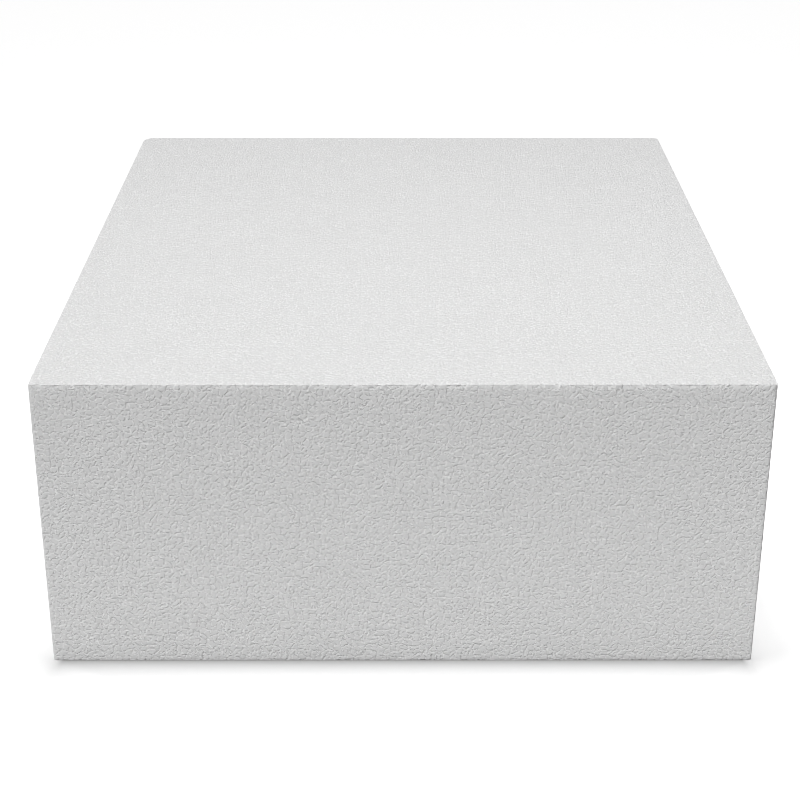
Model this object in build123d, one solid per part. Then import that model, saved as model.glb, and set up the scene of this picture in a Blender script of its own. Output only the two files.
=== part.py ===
from build123d import *
import os

# Foam block: one piece of expanded polystyrene, sawn or wire cut from a larger moulded block.
# Millimetres, +Z up. The origin is the middle of the underside, and the front face looks along -Y.

# Overall size of the block
block_width = 370.0
block_depth = 440.0
block_height = 160.0

# Radii of the four upright edges, seen from above: the front ones are crisp, the rear ones are knocked off
front_left_radius = 1.2
front_right_radius = 1.2
rear_left_radius = 8.5
rear_right_radius = 4.0

# Radii of the level edges, where loose beads have come away
top_edge_radius = 0.8
bottom_edge_radius = 0.6


def plan_outline():
    """The block seen from above: a rectangle with each corner rounded by its own radius."""
    half_width = block_width / 2
    half_depth = block_depth / 2
    corners = [
        (-half_width, -half_depth, front_left_radius),
        (half_width, -half_depth, front_right_radius),
        (half_width, half_depth, rear_right_radius),
        (-half_width, half_depth, rear_left_radius),
    ]
    outline = Rectangle(block_width, block_depth)
    for x, y, radius in corners:
        corner = outline.vertices().sort_by_distance((x, y, 0))[0]
        outline = fillet(corner, radius)
    return outline


def foam_block():
    """The outline raised to the block's height, with the edges round its top and its underside softened."""
    block = extrude(plan_outline(), amount=block_height)
    top_edges = block.faces().sort_by(Axis.Z)[-1].edges()
    block = fillet(top_edges, top_edge_radius)
    bottom_edges = block.faces().sort_by(Axis.Z)[0].edges()
    block = fillet(bottom_edges, bottom_edge_radius)
    return block


os.makedirs("parts", exist_ok=True)
block = foam_block()
block.label = "foam_block"
export_step(block, "parts/foam_block.step")
print("volume in litres", round(block.volume / 1e6, 3))
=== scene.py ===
from math import cos, pi, radians, sin

import bmesh
import bpy
import numpy as np
from mathutils import Matrix, Vector


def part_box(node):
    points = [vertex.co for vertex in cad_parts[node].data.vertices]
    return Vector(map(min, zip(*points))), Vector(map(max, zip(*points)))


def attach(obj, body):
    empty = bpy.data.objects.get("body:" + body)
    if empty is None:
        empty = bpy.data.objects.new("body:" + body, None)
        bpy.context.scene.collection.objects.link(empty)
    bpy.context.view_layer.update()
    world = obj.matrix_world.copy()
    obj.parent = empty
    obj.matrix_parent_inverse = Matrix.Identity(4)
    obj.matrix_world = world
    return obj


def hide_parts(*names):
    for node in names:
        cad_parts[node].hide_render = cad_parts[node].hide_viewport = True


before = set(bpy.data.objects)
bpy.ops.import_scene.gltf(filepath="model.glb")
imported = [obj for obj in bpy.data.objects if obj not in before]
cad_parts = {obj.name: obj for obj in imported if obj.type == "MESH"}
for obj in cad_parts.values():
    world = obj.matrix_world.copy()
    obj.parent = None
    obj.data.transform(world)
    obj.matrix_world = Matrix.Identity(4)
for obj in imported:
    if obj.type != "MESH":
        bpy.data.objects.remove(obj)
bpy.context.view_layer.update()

# The looks of the foam block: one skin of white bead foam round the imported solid, on a white studio
# floor. The skin is the block's own surface with its rounded edges. Along the twelve edges it is fine
# enough to hold single beads, which have crumbled a little there, and in the middle of each face it is a
# coarse grid. The relief of the beads is a bump in the material. Skin and material read the same field of
# beads, so they meet at the edges. Metres throughout, +Z up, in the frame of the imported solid.

MM = 0.001

# The block, as packed: its faces and the radii of its edges
low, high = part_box("foam_block")
WIDTH, DEPTH, HEIGHT = high - low
CORNER_RADII = {(-1, -1): 1.2 * MM, (1, -1): 1.2 * MM, (1, 1): 4.0 * MM, (-1, 1): 8.5 * MM}
TOP_EDGE_RADIUS = 0.2 * MM
BOTTOM_EDGE_RADIUS = 0.5 * MM

# The beads that the foam is fused from: a disorder of 0 would be a square grid, and 1 is chance alone.
# Each warp has its size in beads, its waves in radians per bead, its phases, and which axis drives each
# one.
BEAD_SPACING = 3.2 * MM
BEAD_DISORDER = 0.75
BEAD_WARPS = (
    (0.17, 2.1, (0.3, 1.7, 4.1), (1, 2, 0)),
    (0.09, 4.7, (2.2, 5.0, 0.9), (2, 0, 1)),
)

# The relief of the beads in the material: heights in millimetres, widths in beads, scales in waves per
# bead. Some noises are eased from one value of a spread to the other.
WIDE_SPREAD = (0.3, 0.7)
NARROW_SPREAD = (0.35, 0.65)
PEBBLE_SCALE = 1.1
PEBBLE_HEIGHT = 0.39
SWELL_WIDTH = 0.3
SWELL_HEIGHT = 0.15
SEAM_SCALE = 2.4
SEAM_RANGE = (0.38, 0.58)
SEAM_WIDTH = 0.3
RIM_HEIGHT = 0.14
GAP_DEPTH = 0.12
VIGOUR_SCALE = 0.37
VIGOUR_RANGE = (0.88, 1.0)
TOP_RANGE = (HEIGHT - 1.0 * MM, HEIGHT - 0.4 * MM)
TOP_RELIEF = 0.85

# The tones of the foam: painted shade in the gaps and a painted highlight on the rims, both weaker on the
# top, where light falls into the gaps, a slight mottle, each bead's own tone, and the roughness with its
# fine grain
FOAM_WHITE = (0.85, 0.85, 0.85)
TONE_WIDTH = 0.11
RIM_PAINTED_HIGHLIGHT = 0.4
GAP_PAINTED_SHADE = 0.12
TOP_PAINTED_LIGHT = 0.65
MOTTLE_SCALE = 0.1
MOTTLE_DETAIL = 3.0
MOTTLE_RANGE = (0.993, 1.003)
BEAD_TONE = 0.02
GRAIN_SCALE = 6.0
ROUGHNESS = (0.62, 0.78)

# The skin's mesh: how often its steps halve on the way in from an edge, the steps of the coarse grids
# along x, y and z, and how far from the edge each row of points lies
HALVINGS = 4
COARSE_STEPS = (40, 48, 17)
FINE_ROWS = (0.0, 0.25 * MM, 0.6 * MM, 1.1 * MM, 1.9 * MM, 3.0 * MM)
COARSER_ROWS = (4.2 * MM, 6.2 * MM, 9.4 * MM, 14.0 * MM)
MERGE_DISTANCE = 0.001 * MM

# How far the beads beside an edge have crumbled: some have lost a chip, and the grooves between them are
# open. The front edge of the top is the roughest, and the others are whole for the most part.
CRUMBLE_REACH = 2.6 * MM
FRONT_EDGE_REACH = 3 * CRUMBLE_REACH
EDGE_WEAR = 0.01 * MM
CHIP_DEPTH = 1.1 * MM
CHIP_RARITY = 3
GROOVE_DEPTH = 0.34 * MM
GROOVE_WIDTH_IN_BEADS = 0.25
OTHER_CRUMBLE = 0.12

# The camera, fitted to the block's edges in the photograph, and the width of its pixels' filter
CAMERA_PLACE = (-2.7 * MM, -1004.5 * MM, 507.7 * MM)
CAMERA_PITCH = radians(24.411)
CAMERA_YAW = radians(0.092)
CAMERA_ROLL = radians(-0.022)
FOCAL_PIXELS = 1742.6
PICTURE_PIXELS = 800
SENSOR_WIDTH = 36.0
FILTER_WIDTH = 0.8

# The studio's floor: its half size in metres, its white for the camera and for bounced light, and the
# painted contact shadows where the block stands, each with how dark it is and how far it reaches. At the
# sides of the block they start a little way under it, and a distance counts more often than once.
FLOOR_HALF = 8.0
FLOOR_WHITE = 1.38
FLOOR_BOUNCE = 0.4
PAINTED_CONTACT_SHADOWS = ((0.47, 8.5 * MM), (0.2, 60.0 * MM))
CONTACT_INSET = 5.0 * MM
CONTACT_ASIDE = 2.0

# Distant lights: how far round from the camera's side and how high, in degrees, strength, where 1 makes a
# white surface that faces it white, width in degrees, and whether it casts shadows. The key comes from
# the upper left, and no shadow of it shows on the picture's floor.
SUNS = (
    ("key", -30.0, 47.7, 0.75, 3.0, False),
    ("rear_left", -120.0, 12.0, 0.35, 10.0, True),
    ("rear_right", 120.0, 12.0, 0.35, 10.0, True),
)

# Near lamps: place, target, breadth and height of the lamp in metres, and power
LAMPS = (
    ("above", (0, -0.2, 1.01), (0, -0.1, 0.1), (0.2, 0.2), 1.95),
    ("low_strip", (0, -0.36, 0.025), (0, -0.22, 0.025), (0.9, 0.03), 0.06),
)


# Camera


def make_camera():
    """The photograph's viewpoint: in front of the block and above it, looking down."""
    data = bpy.data.cameras.new("camera")
    data.sensor_width = SENSOR_WIDTH
    data.lens = SENSOR_WIDTH * FOCAL_PIXELS / PICTURE_PIXELS
    camera = bpy.data.objects.new("camera", data)
    bpy.context.scene.collection.objects.link(camera)
    turn = Matrix.Rotation(-CAMERA_YAW, 4, "Z") @ Matrix.Rotation(pi / 2 - CAMERA_PITCH, 4, "X")
    turn = turn @ Matrix.Rotation(-CAMERA_ROLL, 4, "Z")
    camera.matrix_world = Matrix.Translation(CAMERA_PLACE) @ turn
    bpy.context.scene.camera = camera


# The field of beads, in the same numbers as the Voronoi texture of the material

LARGEST_WORD = 0xFFFFFFFF
HASH_START = 0xDEADBEEF + 13
FIRST_ROUNDS = ((0, 2, 4), (1, 0, 6), (2, 1, 8), (0, 2, 16), (1, 0, 19), (2, 1, 4))
FINAL_ROUNDS = ((2, 1, 14), (0, 2, 11), (1, 0, 25), (2, 1, 16), (0, 2, 4), (1, 0, 14), (2, 1, 24))


def turned(word, bits):
    """A 32-bit word with its bits rotated left."""
    return (word << np.uint32(bits)) | (word >> np.uint32(32 - bits))


def final_mix(a, b, c):
    """The last seven rounds of the texture's hash. In each, a word is crossed with another, and that
    other word, with its bits rotated, is taken from it."""
    words = [a, b, c]
    for into, other, bits in FINAL_ROUNDS:
        words[into] = (words[into] ^ words[other]) - turned(words[other], bits)
    return words[2]


def first_mix(a, b, c):
    """The six rounds that take in three words before a fourth. In each, another word is taken from a word,
    which is then crossed with that other, rotated, and the third word is added to the other."""
    words = [a, b, c]
    for into, other, bits in FIRST_ROUNDS:
        words[into] = (words[into] - words[other]) ^ turned(words[other], bits)
        third = 3 - into - other
        words[other] = words[other] + words[third]
    return words


def as_words(numbers):
    """The 32-bit words that numbers are stored in."""
    return np.asarray(numbers, np.float32).view(np.uint32)


def bead_offsets(cells):
    """Where the bead lies in each cell of a unit grid, 0 to 1 each way: three hashes of the cell's three
    numbers. The first takes in those three words, and the others a fourth, 1 or 2. Each has the start
    value for its count."""
    x, y, z = (as_words(np.where(cells[..., i] == 0, 0.0, cells[..., i])) for i in range(3))
    start_of_three = np.uint32(HASH_START + 4 * 3)
    start_of_four = np.uint32(HASH_START + 4 * 4)
    with np.errstate(over="ignore"):
        hashes = [final_mix(start_of_three + x, start_of_three + y, start_of_three + z)]
        for fourth in (1.0, 2.0):
            a, b, c = first_mix(start_of_four + x, start_of_four + y, start_of_four + z)
            hashes.append(final_mix(a + as_words(fourth), b, c))
    return np.stack(hashes, -1) / LARGEST_WORD


def warped(places):
    """Places in beads, pushed about by two sets of sine waves, so that the cells between beads have
    curved walls."""
    for size, waves, phases, drivers in BEAD_WARPS:
        places = places + size * np.sin(waves * places[:, drivers] + np.array(phases))
    return places


def bead_field(points):
    """For each point in metres: its distance to the nearest wall between beads, in beads, and its bead's
    own random number. The wall between the nearest bead and another is the plane halfway between the two.
    Beads are looked for in the point's cell and the 26 round it, and the nearest bead has no wall with
    itself."""
    places = warped(points / BEAD_SPACING)
    cells = np.floor(places)
    steps = np.array([(i, j, k) for k in (-1, 0, 1) for j in (-1, 0, 1) for i in (-1, 0, 1)], float)
    near = cells[:, None, :] + steps
    offsets = bead_offsets(near)
    towards = near + BEAD_DISORDER * offsets - places[:, None, :]
    nearest = (towards**2).sum(-1).argmin(1)
    rows = np.arange(len(points))
    own = towards[rows, nearest][:, None, :]
    across = towards - own
    gap = np.sqrt((across**2).sum(-1))
    walls = ((towards + own) / 2 * across).sum(-1) / np.maximum(gap, 1e-9)
    walls[rows, nearest] = np.inf
    return walls.min(1), offsets[rows, nearest, 0]


# The skin's mesh


def ring(length, breadth, inset, steps_long, steps_broad):
    """The border of a rectangle drawn in by an inset, as points run anticlockwise from its first corner,
    with a given number of steps along each pair of sides."""
    along = np.arange(steps_long) / steps_long
    up = np.arange(steps_broad) / steps_broad
    inner_length, inner_breadth = length - 2 * inset, breadth - 2 * inset
    u = np.concatenate([along * inner_length, np.full(steps_broad, inner_length)])
    u = np.concatenate([u, inner_length - u])
    v = np.concatenate([np.zeros(steps_long), up * inner_breadth])
    v = np.concatenate([v, inner_breadth - v])
    return np.stack([u + inset, v + inset], -1)


def quad_band(outer, inner, count):
    """Quads between two rings of as many points, given by the number of each ring's first point."""
    here = np.arange(count)
    after = (here + 1) % count
    return np.stack([outer + here, outer + after, inner + after, inner + here], -1)


def halving_band(outer, inner, count):
    """Triangles between a ring of points and one of half as many: three for each step of the inner
    ring."""
    here = np.arange(count // 2)
    after = (here + 1) % (count // 2)
    left, middle, right = outer + 2 * here, outer + 2 * here + 1, outer + 2 * after
    return np.concatenate(
        [
            np.stack([left, middle, inner + here], -1),
            np.stack([middle, inner + after, inner + here], -1),
            np.stack([middle, right, inner + after], -1),
        ]
    )


def face_patch(length, breadth, coarse_long, coarse_broad):
    """A flat rectangle as points, quads and triangles: fine rows all round its border, rings that halve
    their steps on the way in, and a coarse grid in the middle, whose border is the last ring."""
    points, quads, triangles = [], [], []
    start, level = 0, 2**HALVINGS
    for row, inset in enumerate(FINE_ROWS + COARSER_ROWS):
        if row >= len(FINE_ROWS):
            level //= 2
        count = 2 * level * (coarse_long + coarse_broad)
        points.append(ring(length, breadth, inset, level * coarse_long, level * coarse_broad))
        if 0 < row < len(FINE_ROWS):
            quads.append(quad_band(start - count, start, count))
        elif row:
            triangles.append(halving_band(start - 2 * count, start, 2 * count))
        start += count
    inset = COARSER_ROWS[-1]
    u = inset + (length - 2 * inset) * np.arange(coarse_long + 1) / coarse_long
    v = inset + (breadth - 2 * inset) * np.arange(coarse_broad + 1) / coarse_broad
    points.append(np.stack(np.meshgrid(u, v), -1).reshape(-1, 2))
    corner = start + (np.arange(coarse_broad)[:, None] * (coarse_long + 1) + np.arange(coarse_long)).ravel()
    quads.append(np.stack([corner, corner + 1, corner + coarse_long + 2, corner + coarse_long + 1], -1))
    return np.concatenate(points), np.concatenate(quads), np.concatenate(triangles)


def sharp_box():
    """The block with sharp edges, as the patches of its six faces, each seen anticlockwise from
    outside."""
    size = np.array([WIDTH, DEPTH, HEIGHT])
    points, quads, triangles = [], [], []
    start = 0
    for axis, side in ((0, -1), (0, 1), (1, -1), (1, 1), (2, -1), (2, 1)):
        first, second = [(1, 2), (2, 0), (0, 1)][axis]
        if side < 0:
            first, second = second, first
        flat, four, three = face_patch(size[first], size[second], COARSE_STEPS[first], COARSE_STEPS[second])
        placed = np.zeros((len(flat), 3))
        placed[:, first] = low[first] + flat[:, 0]
        placed[:, second] = low[second] + flat[:, 1]
        placed[:, axis] = high[axis] if side > 0 else low[axis]
        points.append(placed)
        quads.append(four + start)
        triangles.append(three + start)
        start += len(flat)
    return np.concatenate(points), np.concatenate(quads), np.concatenate(triangles)


def rounded(points):
    """Points of the sharp box, moved onto the rounded one, and the way out of the surface at each. First
    the plan: in a corner's square, a point at a distance from its centre, measured along the longer side,
    moves onto the circle of that radius. Then the section across a level edge, in the same way."""
    half = np.array([WIDTH, DEPTH]) / 2
    plan = points[:, :2] - (np.array(low[:2]) + half)
    side = np.where(plan < 0, -1.0, 1.0)
    inset = half - np.abs(plan)
    nearer = inset.argmin(1)
    outward = np.zeros_like(plan)
    outward[np.arange(len(plan)), nearer] = side[np.arange(len(plan)), nearer]
    for (sx, sy), radius in CORNER_RADII.items():
        inside = (side[:, 0] == sx) & (side[:, 1] == sy) & (inset < radius).all(1)
        arm = radius - inset[inside]
        way = arm / np.hypot(*arm.T)[:, None] * (sx, sy)
        centre = (half - radius) * (sx, sy)
        plan[inside] = centre + way * arm.max(1)[:, None]
        outward[inside] = way
    inward = inset.min(1)

    drop = np.minimum(high[2] - points[:, 2], points[:, 2] - low[2])
    upper = points[:, 2] > (low[2] + high[2]) / 2
    radius = np.where(upper, TOP_EDGE_RADIUS, BOTTOM_EDGE_RADIUS)
    rise = np.where(upper, 1.0, -1.0)
    arm = np.stack([radius - inward, radius - drop], -1)
    on_edge = (arm > 0).all(1)
    on_wall = inward < drop
    way = np.where(on_wall[:, None], (1.0, 0.0), (0.0, 1.0))
    way[on_edge] = arm[on_edge] / np.hypot(*arm[on_edge].T)[:, None]
    shift = np.where(on_edge[:, None], arm - way * radius[:, None], 0.0)
    height = points[:, 2] - rise * shift[:, 1]
    plan = plan - outward * shift[:, :1]
    moved = np.column_stack([plan + np.array(low[:2]) + half, height])
    normal = np.column_stack([outward * way[:, :1], rise * way[:, 1]])
    return moved, normal


def eased(x):
    """0 below 0, 1 above 1, and a smooth step between."""
    x = np.clip(x, 0, 1)
    return x * x * (3 - 2 * x)


def crumbled(points, sharp, normal):
    """The points near the edges, pushed in: all of them a little, each bead by a high power of its own
    random number, so that most keep their place, and the grooves between beads. It fades out on the way
    from the edge, and it is less away from the front edge of the top."""
    size = np.array([WIDTH, DEPTH, HEIGHT])
    middle = (np.array(low) + np.array(high)) / 2
    edge_distance = np.sort(size / 2 - np.abs(sharp - middle), axis=1)[:, 1]
    near = edge_distance < CRUMBLE_REACH
    wall, luck = bead_field(points[near])
    bead = eased(wall / GROOVE_WIDTH_IN_BEADS)
    depth = EDGE_WEAR + CHIP_DEPTH * luck**CHIP_RARITY * bead + GROOVE_DEPTH * (1 - bead)
    depth = depth * eased(1 - edge_distance[near] / CRUMBLE_REACH)
    away = np.maximum(high[2] - sharp[near, 2], sharp[near, 1] - low[1])
    depth = depth * (OTHER_CRUMBLE + (1 - OTHER_CRUMBLE) * eased(1 - away / FRONT_EDGE_REACH))
    points[near] -= normal[near] * depth[:, None]
    return points


def make_skin():
    """The block's skin as one closed mesh: the patches rounded, crumbled, and joined where they meet."""
    sharp, quads, triangles = sharp_box()
    points, normal = rounded(sharp)
    points = crumbled(points, sharp, normal)
    mesh = bpy.data.meshes.new("foam_block_skin")
    mesh.from_pydata(points.tolist(), [], quads.tolist() + triangles.tolist())
    work = bmesh.new()
    work.from_mesh(mesh)
    bmesh.ops.remove_doubles(work, verts=work.verts, dist=MERGE_DISTANCE)
    work.to_mesh(mesh)
    work.free()
    mesh.polygons.foreach_set("use_smooth", np.ones(len(mesh.polygons), bool))
    mesh.update()
    skin = bpy.data.objects.new("foam_block_skin", mesh)
    bpy.context.scene.collection.objects.link(skin)
    return skin


# Foam material


class Nodes:
    """Short ways to add nodes to one tree and to link them."""

    def __init__(self, tree):
        self.tree = tree

    def add(self, kind, settings=(), **inputs):
        """A node with its settings and inputs; an input is a value or another node's output."""
        node = self.tree.nodes.new(kind)
        for name, value in dict(settings).items():
            setattr(node, name, value)
        for name, value in inputs.items():
            key = int(name[1:]) if name[0] == "i" and name[1:].isdigit() else name.replace("_", " ")
            socket = node.inputs[key]
            if isinstance(value, bpy.types.NodeSocket):
                self.tree.links.new(value, socket)
            else:
                socket.default_value = value
        return node

    def math(self, operation, a, b=0.0, c=0.0):
        """One scalar operation."""
        return self.add("ShaderNodeMath", {"operation": operation}, i0=a, i1=b, i2=c).outputs[0]

    def vector(self, operation, a, b=(0, 0, 0), c=(0, 0, 0)):
        """One vector operation."""
        node = self.add("ShaderNodeVectorMath", {"operation": operation}, i0=a, i1=b, i2=c)
        return node.outputs["Value" if operation in ("DOT_PRODUCT", "LENGTH") else "Vector"]

    def ease(self, value, start, end, out_start=0.0, out_end=1.0):
        """A smooth step from one value at start to another at end."""
        node = self.add(
            "ShaderNodeMapRange",
            {"interpolation_type": "SMOOTHSTEP"},
            Value=value, From_Min=start, From_Max=end, To_Min=out_start, To_Max=out_end,
        )
        return node.outputs["Result"]

    def noise(self, where, scale, detail=2.0):
        """Smooth noise between 0 and 1, with a number of waves per unit of its coordinates."""
        return self.add("ShaderNodeTexNoise", Vector=where, Scale=scale, Detail=detail).outputs[0]


def new_material(name):
    """An empty material with its output node."""
    material = bpy.data.materials.new(name)
    material.use_nodes = True
    material.node_tree.nodes.clear()
    return material, Nodes(material.node_tree)


def bead_places(nodes):
    """The point in metres, in beads, and in beads warped by the sine waves of the bead field."""
    where = nodes.add("ShaderNodeTexCoord").outputs["Object"]
    plain = nodes.vector("MULTIPLY", where, (1 / BEAD_SPACING,) * 3)
    places = plain
    for size, waves, phases, drivers in BEAD_WARPS:
        parts = nodes.add("ShaderNodeSeparateXYZ", Vector=places).outputs
        x, y, z = (parts[driver] for driver in drivers)
        driven = nodes.add("ShaderNodeCombineXYZ", X=x, Y=y, Z=z).outputs[0]
        angle = nodes.vector("MULTIPLY_ADD", driven, (waves,) * 3, phases)
        places = nodes.vector("MULTIPLY_ADD", nodes.vector("SINE", angle), (size,) * 3, places)
    return where, plain, places


def foam_material():
    """White bead foam. Each bead swells a little between its walls, and a noise about as fine as the beads
    makes the whole pebbled. Along the walls, by a noise from -1 to 1, the seam opens as a gap or stands up
    as a rim in the bump, and the colour has painted shade in the gaps and a painted highlight on the rims.
    The vigour of all this wanders, and it is less on the top."""
    material, nodes = new_material("foam")
    where, plain, places = bead_places(nodes)
    texture = {"voronoi_dimensions": "3D", "feature": "DISTANCE_TO_EDGE"}
    wall = nodes.add("ShaderNodeTexVoronoi", texture, Vector=places, Scale=1.0, Randomness=BEAD_DISORDER)
    wall = wall.outputs["Distance"]
    texture["feature"] = "F1"
    bead = nodes.add("ShaderNodeTexVoronoi", texture, Vector=places, Scale=1.0, Randomness=BEAD_DISORDER)
    level = nodes.add("ShaderNodeSeparateXYZ", Vector=bead.outputs["Color"]).outputs["Y"]
    level = nodes.math("SUBTRACT", level, 0.5)

    seam = nodes.ease(nodes.noise(plain, SEAM_SCALE), *SEAM_RANGE, -1.0, 1.0)
    rim = nodes.math("MAXIMUM", seam, 0.0)
    gap = nodes.math("MINIMUM", seam, 0.0)
    top = nodes.ease(nodes.add("ShaderNodeSeparateXYZ", Vector=where).outputs["Z"], *TOP_RANGE)
    vigour = nodes.ease(nodes.noise(plain, VIGOUR_SCALE), *NARROW_SPREAD, *VIGOUR_RANGE)

    pebble = nodes.math("SUBTRACT", nodes.noise(plain, PEBBLE_SCALE), 0.5)
    swell = nodes.ease(wall, 0.0, SWELL_WIDTH, -0.5 * SWELL_HEIGHT, 0.5 * SWELL_HEIGHT)
    height = nodes.math("MULTIPLY_ADD", pebble, PEBBLE_HEIGHT, swell)
    edge = nodes.math("MULTIPLY_ADD", gap, GAP_DEPTH, nodes.math("MULTIPLY", rim, RIM_HEIGHT))
    height = nodes.math("MULTIPLY_ADD", edge, nodes.ease(wall, 0.0, SEAM_WIDTH, 1.0, 0.0), height)
    height = nodes.math("MULTIPLY", height, nodes.math("MULTIPLY_ADD", top, TOP_RELIEF - 1, 1.0))
    height = nodes.math("MULTIPLY", height, vigour)
    bump = nodes.add("ShaderNodeBump", Strength=1.0, Distance=MM, Height=height)

    # Painted light in the colour: painted shade in the gaps and a painted highlight on the rims, weaker on
    # the top; then each bead's own tone
    painted_light_and_tone = nodes.math("MULTIPLY_ADD", gap, GAP_PAINTED_SHADE, nodes.math("MULTIPLY", rim, RIM_PAINTED_HIGHLIGHT))
    painted_light_and_tone = nodes.math("MULTIPLY", painted_light_and_tone, nodes.ease(wall, 0.0, TONE_WIDTH, 1.0, 0.0))
    painted_light_and_tone = nodes.math("MULTIPLY", painted_light_and_tone, nodes.math("MULTIPLY_ADD", top, TOP_PAINTED_LIGHT - 1, 1.0))
    painted_light_and_tone = nodes.math("MULTIPLY_ADD", painted_light_and_tone, vigour, nodes.math("MULTIPLY_ADD", level, BEAD_TONE, 1.0))
    mottle = nodes.ease(nodes.noise(plain, MOTTLE_SCALE, MOTTLE_DETAIL), *WIDE_SPREAD, *MOTTLE_RANGE)
    shade = nodes.math("MULTIPLY", painted_light_and_tone, mottle)
    grey = nodes.add("ShaderNodeCombineXYZ", X=shade, Y=shade, Z=shade).outputs[0]
    colour = nodes.vector("MINIMUM", nodes.vector("MULTIPLY", grey, FOAM_WHITE), (1, 1, 1))
    roughness = nodes.ease(nodes.noise(plain, GRAIN_SCALE), *WIDE_SPREAD, *ROUGHNESS)

    normal = bump.outputs[0]
    foam = nodes.add("ShaderNodeBsdfPrincipled", Base_Color=colour, Roughness=roughness, Normal=normal)
    nodes.add("ShaderNodeOutputMaterial", Surface=foam.outputs[0])
    return material


# Studio


def make_floor():
    """A white studio floor that the camera sees over-exposed, as in the photograph. Close round the block a
    contact shadow is painted into its colour, for the camera and for bounced light, by two exponentials
    that fall with the distance from its footprint. At the sides they start further in and fall faster,
    since the photograph shows hardly any shade there."""
    corners = [(FLOOR_HALF * x, FLOOR_HALF * y, 0) for x, y in ((-1, -1), (1, -1), (1, 1), (-1, 1))]
    mesh = bpy.data.meshes.new("studio_floor")
    mesh.from_pydata(corners, [], [(0, 1, 2, 3)])
    floor = bpy.data.objects.new("studio_floor", mesh)
    bpy.context.scene.collection.objects.link(floor)
    material, nodes = new_material("studio_floor")
    where = nodes.vector("ABSOLUTE", nodes.add("ShaderNodeTexCoord").outputs["Object"])
    footprint = (WIDTH / 2 - CONTACT_INSET, DEPTH / 2, 0)
    beyond = nodes.vector("MAXIMUM", nodes.vector("SUBTRACT", where, footprint), (0, 0, 0))
    distance = nodes.vector("LENGTH", nodes.vector("MULTIPLY", beyond, (CONTACT_ASIDE, 1, 1)))
    # Painted contact shadow: the floor's colour is darkened close round the block
    shade = 1.0
    for dark, reach in PAINTED_CONTACT_SHADOWS:
        fall = nodes.math("EXPONENT", nodes.math("MULTIPLY", distance, -1 / reach))
        shade = nodes.math("MULTIPLY_ADD", fall, -dark, shade)
    grey = nodes.add("ShaderNodeCombineXYZ", X=shade, Y=shade, Z=shade).outputs[0]
    seen = nodes.add("ShaderNodeLightPath").outputs["Is Camera Ray"]
    bounce = nodes.add("ShaderNodeBsdfDiffuse", Color=nodes.vector("MULTIPLY", grey, (FLOOR_BOUNCE,) * 3))
    bright = nodes.add("ShaderNodeBsdfDiffuse", Color=nodes.vector("MULTIPLY", grey, (FLOOR_WHITE,) * 3))
    mixed = nodes.add("ShaderNodeMixShader", Fac=seen, i1=bounce.outputs[0], i2=bright.outputs[0])
    nodes.add("ShaderNodeOutputMaterial", Surface=mixed.outputs[0])
    mesh.materials.append(material)


def make_world():
    """Plain white behind the floor, which gives no light."""
    world = bpy.data.worlds.new("studio")
    world.use_nodes = True
    world.node_tree.nodes.clear()
    nodes = Nodes(world.node_tree)
    seen = nodes.add("ShaderNodeLightPath").outputs["Is Camera Ray"]
    light = nodes.add("ShaderNodeBackground", Color=(1, 1, 1, 1), Strength=seen)
    nodes.add("ShaderNodeOutputWorld", Surface=light.outputs[0])
    bpy.context.scene.world = world


def make_light(name, data, place, target):
    """A light at a place, turned to a target and itself unseen."""
    light = bpy.data.objects.new(name, data)
    light.location = place
    light.rotation_mode = "QUATERNION"
    light.rotation_quaternion = (Vector(target) - Vector(place)).to_track_quat("-Z", "Y")
    light.visible_camera = False
    bpy.context.scene.collection.objects.link(light)


def make_lights():
    """Distant lights from the camera's upper left and from both sides behind the block, a near lamp above
    that makes the top brighter towards the camera, and a low strip in front."""
    for name, turn, rise, strength, spread, shadow in SUNS:
        data = bpy.data.lights.new(name, "SUN")
        data.energy = strength * pi
        data.angle = radians(spread)
        data.use_shadow = shadow
        level = cos(radians(rise))
        place = (sin(radians(turn)) * level, -cos(radians(turn)) * level, sin(radians(rise)))
        make_light(name, data, place, (0, 0, 0))
    for name, place, target, (breadth, height), power in LAMPS:
        data = bpy.data.lights.new(name, "AREA")
        data.shape = "RECTANGLE"
        data.size, data.size_y = breadth, height
        data.energy = power
        make_light(name, data, place, target)


make_camera()
skin = make_skin()
skin.data.materials.append(foam_material())
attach(skin, "root")
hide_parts("foam_block")

make_floor()
make_world()
make_lights()
bpy.context.scene.view_settings.view_transform = "Standard"
bpy.context.scene.cycles.filter_width = FILTER_WIDTH
